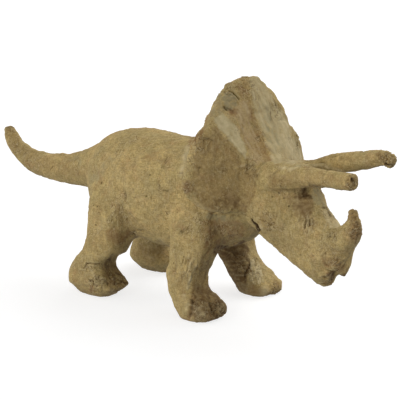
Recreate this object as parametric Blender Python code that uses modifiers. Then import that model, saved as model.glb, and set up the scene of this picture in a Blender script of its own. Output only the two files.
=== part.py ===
"""Papier-mache triceratops figure: one solid form, standing on four flat soles.

The figure faces +X with +Z up, and its middle stands over the origin on the ground.
It is built the way such a blank is shaped: limbs, trunk, frill and horns are lofted,
fused into one skin, softened where they meet, carved, and cut flat under the feet.

The form is free, so its stations are shares of its own length: the tables below are in
units, and the figure is UNITS_LONG of them from the tail's end to the brow horns' tips.
"""

import math

import bmesh
import bpy
import numpy as np
from mathutils import Matrix, Vector

# Driving sizes, in metres.
LENGTH = 0.274
FRILL_THICKNESS = 0.0052

UNITS_LONG = 274
UNIT = LENGTH / UNITS_LONG

# The head turns towards the animal's right, about an upright line through the neck.
HEAD_YAW_DEG = -10.0
NECK_X = 28.6

# How square the sections are: 2 is an ellipse, more is boxier.
TRUNK_POWER = 2.2
LEG_POWER = 3.2
HEAD_POWER = 2.5

# Fineness of the skin.
RING_SIDES = 36
SPLINE_STEPS = 4
VOXEL = 1.35
SKIN_TRIANGLES = 9400
SOFTEN_ALL = 2
SOFTEN_JOINTS = 24
SOFTEN_FACTOR = 0.5
SOLE_SINK = 1.2
CAP_DOME = 0.35

# Where trunk and limbs meet: the skin is softened most from the second x to the third and
# above the second height, and not at all beyond the outer ones.
JOINTS_X = (-76, -66, 24, 32)
JOINTS_Z = (20, 32)

KRAFT = (0.46, 0.34, 0.16, 1.0)

# Trunk: x, top, bottom, half width.
TRUNK = (
    (-70.0, 65, 57, 5.0),
    (-67.0, 76, 47, 13.5),
    (-60.0, 86.2, 38, 21.5),
    (-48.0, 90.8, 32, 27.5),
    (-35.0, 92.2, 30.5, 29.8),
    (-17.0, 90.9, 28, 30.5),
    (0.0, 91.8, 27, 30.0),
    (15.0, 93.4, 29, 28.5),
    (28.0, 92, 34, 25.0),
    (39.0, 87, 39.5, 20.0),
    (47.0, 78, 46, 13.0),
    (50.0, 70, 54, 6.0),
)

# Tail: x, y, z, radius.
TAIL = (
    (-56.0, 0, 68.8, 16.6),
    (-69.0, 0, 65.3, 13.4),
    (-80.0, 0, 62.7, 10.8),
    (-92.0, 0, 60.7, 9.3),
    (-104.2, 0, 60.2, 8.6),
    (-116.0, 0, 60.8, 7.4),
    (-126.2, 0, 63.2, 6.4),
    (-135.2, 0, 68.6, 5.4),
    (-140.0, 0, 75.5, 4.3),
    (-141.0, 0, 80.0, 3.1),
)

# Legs on the right side, from hip to sole: x, y, z, half length, half width.
HIND_LEG = (
    (-42.0, -14.0, 70, 14.5, 11.0),
    (-41.2, -19.0, 56, 14.7, 12.2),
    (-41.0, -22.5, 44, 13.8, 12.4),
    (-41.2, -25.0, 35, 12.5, 12.0),
    (-42.2, -26.8, 28, 11.8, 11.6),
    (-46.3, -27.4, 22.5, 12.0, 11.4),
    (-50.4, -27.8, 17.5, 11.9, 11.4),
    (-51.0, -28.0, 13.5, 13.4, 11.8),
    (-49.6, -28.0, 9.5, 16.2, 12.2),
    (-47.6, -28.0, 6, 17.6, 12.2),
    (-47.2, -28.0, 3, 14.8, 11.0),
    (-47.6, -28.0, -SOLE_SINK, 9.8, 7.8),
)
FRONT_LEG = (
    (16.0, -14.0, 70, 15.0, 11.0),
    (18.0, -20.0, 56, 14.4, 11.8),
    (19.4, -24.0, 44, 13.4, 12.0),
    (19.6, -26.0, 36, 12.4, 11.6),
    (18.4, -27.4, 29.5, 10.9, 10.8),
    (16.2, -28.2, 23.5, 10.2, 10.4),
    (16.4, -28.2, 18, 9.9, 10.4),
    (18.2, -28.2, 13, 10.6, 11.0),
    (22.2, -28.0, 9, 11.9, 11.7),
    (24.6, -28.0, 5.5, 12.6, 12.3),
    (26.0, -28.2, 2.5, 11.6, 11.8),
    (26.2, -28.0, -SOLE_SINK, 9.8, 10.4),
)
# The left front leg slopes forward more than the right: its x at the same stations.
LEFT_FRONT_X = (11.0, 9.4, 8.4, 7.8, 7.6, 8.8, 11.8, 15.6, 20.2, 23.6, 25.0, 24.8)
# The left hind leg stands a little further back and out.
LEFT_HIND_SHIFT = (-2.0, 2.0)

# Head, in its own frame: forward of the neck, top, bottom, half width.
HEAD = (
    (6.0, 83, 62, 12.0),
    (16.0, 87, 53, 16.0),
    (28.0, 88.6, 48.4, 18.0),
    (40.0, 88.8, 44.4, 17.4),
    (50.0, 87.0, 39.8, 14.6),
    (56.0, 81.6, 35.6, 12.2),
    (60.5, 74.8, 32.0, 10.0),
    (64.5, 69.2, 28.6, 9.2),
    (69.5, 64.6, 28.0, 8.8),
    (75.0, 61, 33.5, 8.0),
    (79.0, 59.2, 34.0, 6.8),
    (81.6, 56, 37.8, 5.4),
    (83.2, 51.5, 44, 3.4),
)
# Lower jaw: forward, side, z, radius.
JAW = (
    (20.0, 0, 60.0, 9.5),
    (36.0, 0, 51.4, 10.6),
    (52.0, 0, 43.0, 9.4),
    (61.5, 0, 35.8, 7.4),
    (68.5, 0, 31.4, 5.6),
    (71.5, 0, 31.6, 3.8),
)
NOSE_HORN = (
    (77.5, 0, 50.0, 7.0),
    (83.6, 0, 57.0, 6.6),
    (86.6, 0, 62.0, 4.9),
    (86.8, 0, 66.8, 3.6),
    (86.2, 0, 71.5, 2.6),
)
RIGHT_HORN = (
    (34.0, -9.0, 80.0, 9.0),
    (44.0, -11.5, 83.2, 8.0),
    (55.0, -13.4, 86.0, 6.8),
    (70.0, -14.6, 87.9, 5.6),
    (86.0, -15.4, 89.8, 5.0),
    (101.0, -16.0, 91.2, 4.8),
)
LEFT_HORN = (
    (34.0, 9.0, 79.5, 7.0),
    (44.0, 11.5, 82.8, 5.9),
    (55.0, 13.4, 86.8, 5.6),
    (70.0, 14.6, 91.4, 5.5),
    (86.0, 15.4, 95.7, 5.0),
    (93.5, 15.8, 97.1, 4.1),
    (99.0, 16.0, 95.5, 3.3),
)

# Frill, in the head's frame: its edge on each side from the top to the bottom, side and z.
# It was shaped by hand, so the left shoulder sits lower than the right one.
RIGHT_FRILL_EDGE = (
    (0.0, 129.8),
    (10.0, 127.9),
    (17.0, 123.5),
    (23.2, 118.0),
    (30.0, 112.0),
    (34.4, 106.4),
    (39.2, 101.0),
    (42.0, 92.5),
    (45.2, 82.0),
    (45.8, 75.0),
    (42.6, 68.6),
    (35.0, 63.2),
    (16.0, 60.8),
    (0.0, 60.0),
)
LEFT_FRILL_EDGE = (
    (0.0, 129.8),
    (11.5, 128.2),
    (18.4, 123.0),
    (21.8, 117.0),
    (25.0, 110.5),
    (26.6, 105.0),
    (30.8, 99.5),
    (38.0, 93.8),
    (43.2, 88.0),
    (45.2, 82.0),
    (45.6, 76.0),
    (42.0, 69.0),
    (34.0, 63.2),
    (0.0, 60.0),
)

# Each half of the frill is two flat faces that meet in a fold: at its middle and level
# with the skull's top a face stands this far forward, and falls back outwards and upwards.
FRILL_CENTRE_Z = 84.0
FRILL_LEVEL = 88.0
UPPER_FACE = (27.6, 0.20, 0.45)
LOWER_FACE = (31.0, 0.51, 0.12)
FRILL_BACK_HOLLOW = 0.12
# Its rings, from the middle out as shares of the way, and how far back round the rim.
FRILL_INNER = 0.1
FRILL_OUTER = 0.985
FRILL_FRONT_RINGS = 16
FRILL_BACK_RINGS = 12
RIM_DEPTHS = (0.25, 0.75)

# Carving, as places where the skin is pushed: the place, how far it reaches, the push.
# The places on the head are in its own frame, and each is made on both sides.
EYE_SOCKETS = ((58.5, 11.6, 77.0), 6.0, (-1.6, -5.0, 0.8))
CHEEK_HOLLOWS = ((54.0, 14.0, 64.0), 11.0, (0.0, -2.0, 0.0))
MOUTH_CORNERS = ((71.5, 9.0, 37.5), 5.0, (0.0, -1.6, 0.6))
TOE_PLACES = ((0.93, -0.62), (1.02, 0.05), (0.93, 0.68))
TOE_REACH = 6.0
TOE_PUSH = 1.0
TOE_SPREAD = 0.4
TOE_Z = 5.0
TOE_STATION = -3


def clear_scene():
    for obj in list(bpy.data.objects):
        bpy.data.objects.remove(obj)


def spline(rows, steps=SPLINE_STEPS):
    """Rows in between the given ones, on a Catmull-Rom curve through all of them."""
    rows = np.array(rows, float)
    padded = np.vstack([2 * rows[0] - rows[1], rows, 2 * rows[-1] - rows[-2]])
    made = []
    for before, start, end, after in zip(padded, padded[1:], padded[2:], padded[3:]):
        for step in range(steps):
            t = step / steps
            made.append(
                0.5
                * (
                    2 * start
                    + (end - before) * t
                    + (2 * before - 5 * start + 4 * end - after) * t**2
                    + (3 * start - before - 3 * end + after) * t**3
                )
            )
    made.append(rows[-1])
    return made


def section(power):
    """Points round a section of half size one: an ellipse or a rounded box."""
    points = []
    for side in range(RING_SIDES):
        angle = 2 * math.pi * side / RING_SIDES
        across, up = math.cos(angle), math.sin(angle)
        points.append(
            (
                math.copysign(abs(across) ** (2 / power), across),
                math.copysign(abs(up) ** (2 / power), up),
            )
        )
    return points


def level_rings(rows):
    """A leg's level sections."""
    return [
        [Vector((x + half_length * u, y + half_width * v, z)) for u, v in section(LEG_POWER)]
        for x, y, z, half_length, half_width in spline(rows)
    ]


def upright_rings(rows, power):
    """Upright sections across the length, for the trunk and the head."""
    return [
        [
            Vector((x, half_width * u, (top + bottom) / 2 + (top - bottom) / 2 * v))
            for u, v in section(power)
        ]
        for x, top, bottom, half_width in spline(rows)
    ]


def round_rings(rows):
    """Round sections square to the path, for the tail, the horns and the jaw."""
    rows = spline(rows)
    rings = []
    for index, row in enumerate(rows):
        centre = Vector(row[:3])
        ahead = Vector(rows[min(index + 1, len(rows) - 1)][:3])
        behind = Vector(rows[max(index - 1, 0)][:3])
        along = (ahead - behind).normalized()
        across = Vector((0, 1, 0))
        across = (across - along * across.dot(along)).normalized()
        up = along.cross(across)
        rings.append([centre + (across * u + up * v) * row[3] for u, v in section(2)])
    return rings


def loft(name, rings, turn=None):
    """A closed skin over rings of equal count, with a domed cap at each end."""
    form = bmesh.new()
    loops = [[form.verts.new(point * UNIT) for point in ring] for ring in rings]
    for lower, upper in zip(loops, loops[1:]):
        for side in range(len(lower)):
            after = (side + 1) % len(lower)
            form.faces.new((lower[side], lower[after], upper[after], upper[side]))
    for loop, inner in ((loops[0], loops[1]), (loops[-1], loops[-2])):
        centre = sum((v.co for v in loop), Vector()) / len(loop)
        inner_centre = sum((v.co for v in inner), Vector()) / len(inner)
        radius = sum((v.co - centre).length for v in loop) / len(loop)
        tip = form.verts.new(centre + (centre - inner_centre).normalized() * radius * CAP_DOME)
        for side in range(len(loop)):
            form.faces.new((loop[side], loop[(side + 1) % len(loop)], tip))
    bmesh.ops.recalc_face_normals(form, faces=form.faces)
    mesh = bpy.data.meshes.new(name)
    form.to_mesh(mesh)
    form.free()
    if turn:
        mesh.transform(turn)
    obj = bpy.data.objects.new(name, mesh)
    bpy.context.scene.collection.objects.link(obj)
    return obj


def frill_face(side, z):
    """How far forward the frill's front stands."""
    return min(
        forward - outward * abs(side) - upward * (z - FRILL_LEVEL)
        for forward, outward, upward in (UPPER_FACE, LOWER_FACE)
    )


def frill_rings():
    """Rings over the frill: out over its front, round the rim and in over its back."""
    right = [(-side, z) for side, z in spline(RIGHT_FRILL_EDGE)]
    left = [(side, z) for side, z in spline(LEFT_FRILL_EDGE)]
    outline = left + right[-2:0:-1]
    thickness = FRILL_THICKNESS / UNIT
    outwards = np.linspace(FRILL_INNER, FRILL_OUTER, FRILL_FRONT_RINGS)
    inwards = np.linspace(FRILL_OUTER, FRILL_INNER, FRILL_BACK_RINGS)
    front = [(share, 0.0) for share in outwards]
    rim = [(1.0, depth) for depth in RIM_DEPTHS]
    back = [(share, 1.0) for share in inwards]
    rings = []
    for share, depth in front + rim + back:
        ring = []
        for side, z in outline:
            y = side * share
            up = FRILL_CENTRE_Z + (z - FRILL_CENTRE_Z) * share
            behind = depth * (thickness + FRILL_BACK_HOLLOW * thickness * (1 - share))
            ring.append(Vector((frill_face(y, up) - behind, y, up)))
        rings.append(ring)
    return rings


def head_turn():
    return Matrix.Translation((NECK_X * UNIT, 0, 0)) @ Matrix.Rotation(
        math.radians(HEAD_YAW_DEG), 4, "Z"
    )


def head_parts():
    turn = head_turn()
    return [
        loft("head", upright_rings(HEAD, HEAD_POWER), turn),
        loft("jaw", round_rings(JAW), turn),
        loft("nose_horn", round_rings(NOSE_HORN), turn),
        loft("right_brow_horn", round_rings(RIGHT_HORN), turn),
        loft("left_brow_horn", round_rings(LEFT_HORN), turn),
        loft("frill", frill_rings(), turn),
    ]


def all_legs():
    ahead, aside = LEFT_HIND_SHIFT
    left_hind = [(x + ahead, aside - y, z, a, b) for x, y, z, a, b in HIND_LEG]
    left_front = [(x, -y, z, a, b) for x, (_, y, z, a, b) in zip(LEFT_FRONT_X, FRONT_LEG)]
    return {
        "right_hind_leg": HIND_LEG,
        "right_front_leg": FRONT_LEG,
        "left_hind_leg": left_hind,
        "left_front_leg": left_front,
    }


def body_parts():
    legs = [loft(name, level_rings(rows)) for name, rows in all_legs().items()]
    return legs + [
        loft("trunk", upright_rings(TRUNK, TRUNK_POWER)),
        loft("tail", round_rings(TAIL)),
    ]


def apply_modifiers(obj):
    graph = bpy.context.evaluated_depsgraph_get()
    mesh = bpy.data.meshes.new_from_object(obj.evaluated_get(graph))
    obj.modifiers.clear()
    obj.data = mesh


def fused(parts, name):
    """One skin over all the parts."""
    form = bmesh.new()
    for part in parts:
        form.from_mesh(part.data)
        bpy.data.objects.remove(part)
    mesh = bpy.data.meshes.new(name)
    form.to_mesh(mesh)
    form.free()
    obj = bpy.data.objects.new(name, mesh)
    bpy.context.scene.collection.objects.link(obj)
    skin = obj.modifiers.new("skin", "REMESH")
    skin.mode = "VOXEL"
    skin.voxel_size = VOXEL * UNIT
    apply_modifiers(obj)
    return obj


def points_of(mesh):
    points = np.empty(len(mesh.vertices) * 3, np.float32)
    mesh.vertices.foreach_get("co", points)
    return points.reshape(-1, 3) / UNIT


def smoothstep(low, high, value):
    t = np.clip((value - low) / (high - low), 0, 1)
    return t * t * (3 - 2 * t)


def soften(obj):
    """Smooths the whole skin a little, and where trunk and limbs meet a lot."""
    x, y, z = points_of(obj.data).T
    inside = smoothstep(*JOINTS_X[:2], x) * (1 - smoothstep(*JOINTS_X[2:], x))
    inside *= smoothstep(*JOINTS_Z, z)
    group = obj.vertex_groups.new(name="joints")
    for index, weight in enumerate(inside):
        group.add([index], float(weight), "REPLACE")
    for name, iterations, only in (("all", SOFTEN_ALL, ""), ("joints", SOFTEN_JOINTS, "joints")):
        smooth = obj.modifiers.new(name, "SMOOTH")
        smooth.factor = SOFTEN_FACTOR
        smooth.iterations = round(iterations)
        smooth.vertex_group = only
    apply_modifiers(obj)
    obj.vertex_groups.clear()


def push(points, place, reach, shift):
    """Pushes the skin round a place, most at the place and not at all beyond its reach."""
    distance = np.linalg.norm(points - np.array(place), axis=1) / reach
    weight = np.clip(1 - distance**2, 0, 1) ** 2
    points += weight[:, None] * np.array(shift)


def carve(obj):
    """Eye sockets, hollow cheeks and mouth corners in the head, and toes on the feet."""
    points = points_of(obj.data)
    turn = head_turn()
    for place, reach, shift in (EYE_SOCKETS, CHEEK_HOLLOWS, MOUTH_CORNERS):
        for side in (-1, 1):
            flip = Vector((1, side, 1))
            at = turn @ (Vector(place) * flip * UNIT) / UNIT
            push(points, at, reach, turn.to_3x3() @ (Vector(shift) * flip))
    for rows in all_legs().values():
        x, y, _, half_length, half_width = rows[round(TOE_STATION)]
        for ahead, aside in TOE_PLACES:
            at = (x + half_length * ahead, y + half_width * aside, TOE_Z)
            push(points, at, TOE_REACH, (TOE_PUSH, TOE_PUSH * aside * TOE_SPREAD, 0))
    obj.data.vertices.foreach_set("co", (points * UNIT).ravel())


def thin_out(obj):
    """Fewer triangles, kept where the form bends most."""
    triangles = sum(len(face.vertices) - 2 for face in obj.data.polygons)
    thinner = obj.modifiers.new("thinner", "DECIMATE")
    thinner.ratio = SKIN_TRIANGLES / triangles
    thinner.use_collapse_triangulate = True
    apply_modifiers(obj)


def flatten_soles(obj):
    """Cuts the feet off flat at the ground."""
    reach = 2 * LENGTH
    bpy.ops.mesh.primitive_cube_add(size=reach, location=(0, 0, -reach / 2))
    ground = bpy.context.object
    ground.name = "ground_cutter"
    ground.hide_render = True
    ground.display_type = "WIRE"
    cut = obj.modifiers.new("soles", "BOOLEAN")
    cut.operation = "DIFFERENCE"
    cut.object = ground
    apply_modifiers(obj)
    bpy.data.objects.remove(ground)


def stand_over_origin(obj):
    """Moves the skin until the middle of its box is over the origin, its soles on the ground."""
    points = points_of(obj.data) * UNIT
    low, high = points.min(axis=0), points.max(axis=0)
    middle = (low + high) / 2
    obj.data.transform(Matrix.Translation((-middle[0], -middle[1], -low[2])))


def kraft_paper():
    material = bpy.data.materials.new("kraft_paper")
    material.use_nodes = True
    shader = material.node_tree.nodes["Principled BSDF"]
    shader.inputs["Base Color"].default_value = KRAFT
    shader.inputs["Roughness"].default_value = 0.85
    shader.inputs["Metallic"].default_value = 0.0
    return material


def main():
    clear_scene()
    figure = fused(body_parts() + head_parts(), "triceratops")
    soften(figure)
    carve(figure)
    thin_out(figure)
    flatten_soles(figure)
    stand_over_origin(figure)
    figure.data.shade_smooth()
    figure.data.materials.clear()
    figure.data.materials.append(kraft_paper())
    home = bpy.data.collections.new("papier_mache_triceratops")
    bpy.context.scene.collection.children.link(home)
    bpy.context.scene.collection.objects.unlink(figure)
    home.objects.link(figure)


main()
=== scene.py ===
import math

import bmesh
import bpy
import numpy as np
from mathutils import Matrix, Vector, noise
from mathutils.bvhtree import BVHTree
from mathutils.kdtree import KDTree


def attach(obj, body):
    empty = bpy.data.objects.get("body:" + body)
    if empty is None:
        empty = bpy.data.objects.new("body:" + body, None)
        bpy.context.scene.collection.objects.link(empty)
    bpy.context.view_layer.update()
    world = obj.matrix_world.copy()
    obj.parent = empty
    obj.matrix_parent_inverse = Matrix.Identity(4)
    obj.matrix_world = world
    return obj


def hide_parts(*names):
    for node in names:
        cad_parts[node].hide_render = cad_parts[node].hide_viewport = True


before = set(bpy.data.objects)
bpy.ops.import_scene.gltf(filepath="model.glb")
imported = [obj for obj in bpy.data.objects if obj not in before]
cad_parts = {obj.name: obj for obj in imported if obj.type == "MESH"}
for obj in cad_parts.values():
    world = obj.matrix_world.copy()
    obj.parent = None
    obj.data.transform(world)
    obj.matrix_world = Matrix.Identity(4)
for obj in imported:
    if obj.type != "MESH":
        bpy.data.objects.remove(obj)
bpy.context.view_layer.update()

NODE = "triceratops"
MM = 0.001

# The photograph's camera: where it looks, from which side, how high and how far off, and how many
# pixels a metre is there.
TARGET = Vector((0.0100, 0.0026, 0.0559))
AZIMUTH = 37.0
ELEVATION = 14.5
DISTANCE = 0.955
PHOTO_SIDE = 400
PIXELS_PER_M = 1780
SENSOR_MM = 36

# The head turns about an upright line through the neck. In its own frame it looks along +X.
NECK_MM = (35.7, 0.4)
HEAD_YAW_DEG = -10.0
HEAD_AHEAD = Vector((math.cos(math.radians(HEAD_YAW_DEG)), math.sin(math.radians(HEAD_YAW_DEG)), 0))
HEAD_LEFT = Vector((-HEAD_AHEAD.y, HEAD_AHEAD.x, 0))

# The head's far side has the same features a little further back and out, so that none of them
# reaches the part that the photograph shows, which ends this far to the left of the middle.
TWIN_BACK = 4.0
TWIN_OUT = 3.0
TWIN_MARGIN = 5.0

# The floor's size and depth below the soles in m, its grey and its glow. Then the lights: the world's
# strength, and each lamp's azimuth, elevation, strength and softness in degrees.
FLOOR_SIDE = 14
FLOOR_DROP = 0.0002
FLOOR_GREY = 0.4
FLOOR_GLOW = 0.74
WORLD_STRENGTH = 0.22
LAMPS = (
    ("key", -2, 7, 2.0, 50),
    ("near side", -70, 15, 0.95, 50),
    ("back", 178, 30, 1.6, 70),
    ("far side", 128, 38, 1.0, 60),
)

# Fineness of the paper skin in mm: its voxels, the rounds that smooth it and their pushes in and out,
# and how near to creases and to small bunches of folds it is made finer.
VOXEL_MM = 1.15
SMOOTH_ROUNDS = 12
SMOOTH_PUSHES = (0.62, -0.64)
REFINE_REACH = 2.2
CREASE_REACH = 0.8
FINE_BUNCH = 9
BUNCH_STEP = 6

# A line on the photograph is looked up on the skin at steps of so many pixels. A point of the skin
# shows if the first thing on its sight line is no more than the slack, in mm, in front of it. Points
# belong to a place on the skin if the cosine between the ways that they face is above a limit, and to
# a sole if they are lower than the sole height, in mm.
LINE_STEP = 0.7
SIGHT_SLACK = 1.5
SAME_WAY = 0.1
ROUGHLY_SAME_WAY = 0.25
SOLE_HEIGHT = 0.05

# Torn strips: how many, half their length and width, how thick they are and how ragged, in mm.
STRIP_COUNT = 300
STRIP_HALF_LENGTH = (9, 20)
STRIP_HALF_WIDTH = (5, 9)
STRIP_THICKNESS = 0.2
STRIP_RAGGED = 0.9
STRIP_MARGIN = 3

# Short creases all over: how many, half their length, their width, height, bend and strength of colour, which
# is painted shade in sunk creases and painted highlight on raised ones.
CREASE_COUNT = 220
CREASE_HALF_LENGTH = (2, 7)
CREASE_WIDTH = (0.5, 0.8)
CREASE_HEIGHT = (-0.45, 0.3)
CREASE_BEND = (-0.06, 0.06)
CREASE_COLOUR = (0.3, 1)

# Slow bumps and broad folds of the whole skin: size and height in mm, and the noise's offset.
BUMPS = ((14, 0.4, 3.0), (4, 0.12, 7.0))
BROAD_FOLDS = ((13, 0.6, 81.0), (6, 0.4, 91.0))

# Broad stains, and patches where fine wrinkles with painted shade and highlight show: layer, strength, the
# noise's range, its size in mm, octaves and offset.
STAINS = (
    ("brown", 0.2, (0.05, 0.5), 20, 4, 21.0),
    ("warm", 0.2, (0.1, 0.55), 12, 4, 33.0),
    ("green", 0.18, (0.05, 0.5), 16, 4, 45.0),
    ("wrinkle", 0.7, (0.05, 0.5), 11, 3, 51.0),
)

# Rounds of averaging that leave only the broad form, against which edges stand out and hollows lie
# back, and rounds that soften the difference.
FORM_ROUNDS = 14
BULGE_ROUNDS = 3

# The frill's torn rim, by height and by x, and how far up from the floor the skin is painted browner, in mm.
RIM_HEIGHT = (70, 80)
RIM_FRONT = 75
RIM_RAGGED = 0.9
LOW_BROWN_HEIGHT = 9

# Colours as a picture shows them, 0 to 255. Besides real marks, the pale colour also paints highlights, and
# the dark colour and the wrinkles' brown paint shade in creases, hollows and shadows.
BASE_TAN = (187, 162, 106)
BASE_OLIVE = (175, 154, 101)
BASE_PINK = (179, 147, 98)
FIBRE_PALE = (206, 188, 141)
FIBRE_DARK = (114, 87, 51)
GREEN = (158, 148, 112)
WARM = (154, 119, 79)
BROWN = (120, 94, 58)
PALE = (212, 195, 152)
DARK = (56, 37, 14)
WRINKLE_SHADE_BROWN = (96, 70, 36)
STAIN_SHADE_AND_HIGHLIGHT_COLOURS = (("green", GREEN), ("warm", WARM), ("brown", BROWN), ("pale", PALE), ("dark", DARK))

# The paper's three layers of fibres: how each is turned, in degrees, and stretched. Then the stretch of
# the upright wrinkles, the gloss, and the strength and height, in mm, of the finest relief.
FIBRES = (
    ((20, 10, 35), (1, 0.12, 1)),
    ((70, 40, -25), (0.12, 1, 1)),
    ((-35, 80, 60), (1, 1, 0.12)),
)
UPRIGHT_STRETCH = (1, 1, 0.22)
GLOSS = 0.12
BUMP_STRENGTH = 0.35
BUMP_MM = 0.25

SEED = 7


# Camera, floor and light

def direction(azimuth, elevation):
    """A unit vector towards the viewer: azimuth 0 looks along +Y, 90 along -X."""
    turn, rise = math.radians(azimuth), math.radians(elevation)
    flat = math.cos(rise)
    return Vector((math.sin(turn) * flat, -math.cos(turn) * flat, math.sin(rise)))


def aim(obj, towards):
    obj.rotation_mode = "QUATERNION"
    obj.rotation_quaternion = towards.to_track_quat("-Z", "Y")


def make_camera():
    camera = bpy.data.objects.new("camera", bpy.data.cameras.new("camera"))
    bpy.context.scene.collection.objects.link(camera)
    back = direction(AZIMUTH, ELEVATION)
    camera.location = TARGET + back * DISTANCE
    aim(camera, -back)
    camera.data.sensor_width = SENSOR_MM
    camera.data.lens = PIXELS_PER_M * DISTANCE / PHOTO_SIDE * SENSOR_MM
    bpy.context.scene.camera = camera


def photo_axes():
    """The photograph's right, up and towards the viewer, and where the viewer stands."""
    back = direction(AZIMUTH, ELEVATION)
    right = Vector((math.cos(math.radians(AZIMUTH)), math.sin(math.radians(AZIMUTH)), 0))
    return right, back.cross(right), back, TARGET + back * DISTANCE


def photo_ray(x, y):
    """Where the camera stands, and which way it looks through a pixel of the photograph."""
    right, up, back, eye = photo_axes()
    focal = PIXELS_PER_M * DISTANCE
    half = PHOTO_SIDE / 2
    ray = -back + right * ((x - half) / focal) - up * ((y - half) / focal)
    return eye, ray.normalized()


def photo_pixels(points):
    """The pixels of the photograph at which points, in mm, are."""
    right, up, back, eye = (np.array(v) for v in photo_axes())
    apart = points * MM - eye
    scale = PIXELS_PER_M * DISTANCE / -(apart @ back)
    return np.stack([PHOTO_SIDE / 2 + apart @ right * scale, PHOTO_SIDE / 2 - apart @ up * scale], 1)


def srgb(red, green, blue):
    """A linear colour from the 0 to 255 values of a picture."""
    shares = [value / 255 for value in (red, green, blue)]
    return [s / 12.92 if s <= 0.04045 else ((s + 0.055) / 1.055) ** 2.4 for s in shares] + [1]


def make_floor():
    bpy.ops.mesh.primitive_plane_add(size=FLOOR_SIDE, location=(0, 0, -FLOOR_DROP))
    floor = bpy.context.object
    floor.name = "floor"
    paint = bpy.data.materials.new("floor")
    paint.use_nodes = True
    shader = paint.node_tree.nodes["Principled BSDF"]
    shader.inputs["Base Color"].default_value = (FLOOR_GREY, FLOOR_GREY, FLOOR_GREY, 1)
    shader.inputs["Roughness"].default_value = 0.9
    shader.inputs["Specular IOR Level"].default_value = 0.0
    shader.inputs["Emission Color"].default_value = (1, 1, 1, 1)
    shader.inputs["Emission Strength"].default_value = FLOOR_GLOW
    floor.data.materials.append(paint)
    floor.visible_diffuse = False


def make_world(strength):
    world = bpy.data.worlds.new("studio")
    bpy.context.scene.world = world
    world.use_nodes = True
    background = world.node_tree.nodes["Background"]
    background.inputs["Color"].default_value = (1, 1, 1, 1)
    background.inputs["Strength"].default_value = strength


def make_lamp(name, azimuth, elevation, strength, softness_deg):
    light = bpy.data.lights.new(name, "SUN")
    light.energy = strength
    light.angle = math.radians(softness_deg)
    lamp = bpy.data.objects.new(name, light)
    bpy.context.scene.collection.objects.link(lamp)
    aim(lamp, -direction(azimuth, elevation))


# Noise and fades

def smoothstep(low, high, value):
    """A soft step from 0 at low to 1 at high."""
    t = np.clip((value - low) / (high - low), 0, 1)
    return t * t * (3 - 2 * t)


def grain(points, size, octaves=3, offset=0.0, squash=(1, 1, 1)):
    """Soft noise from about -1 to 1, with bumps of that size in mm."""
    places = points * np.array(squash) / size + offset
    return np.array([noise.fractal(p, 1.0, 2.0, octaves) for p in places.tolist()])


def folds(points, size, octaves=3, offset=0.0, squash=(1, 1, 1)):
    """Crumpled paper: noise from 0 in the valleys to 1 on sharp crests."""
    return np.clip(1 - 2.2 * np.abs(grain(points, size, octaves, offset, squash)), 0, 1)


# The paper skin

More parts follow.
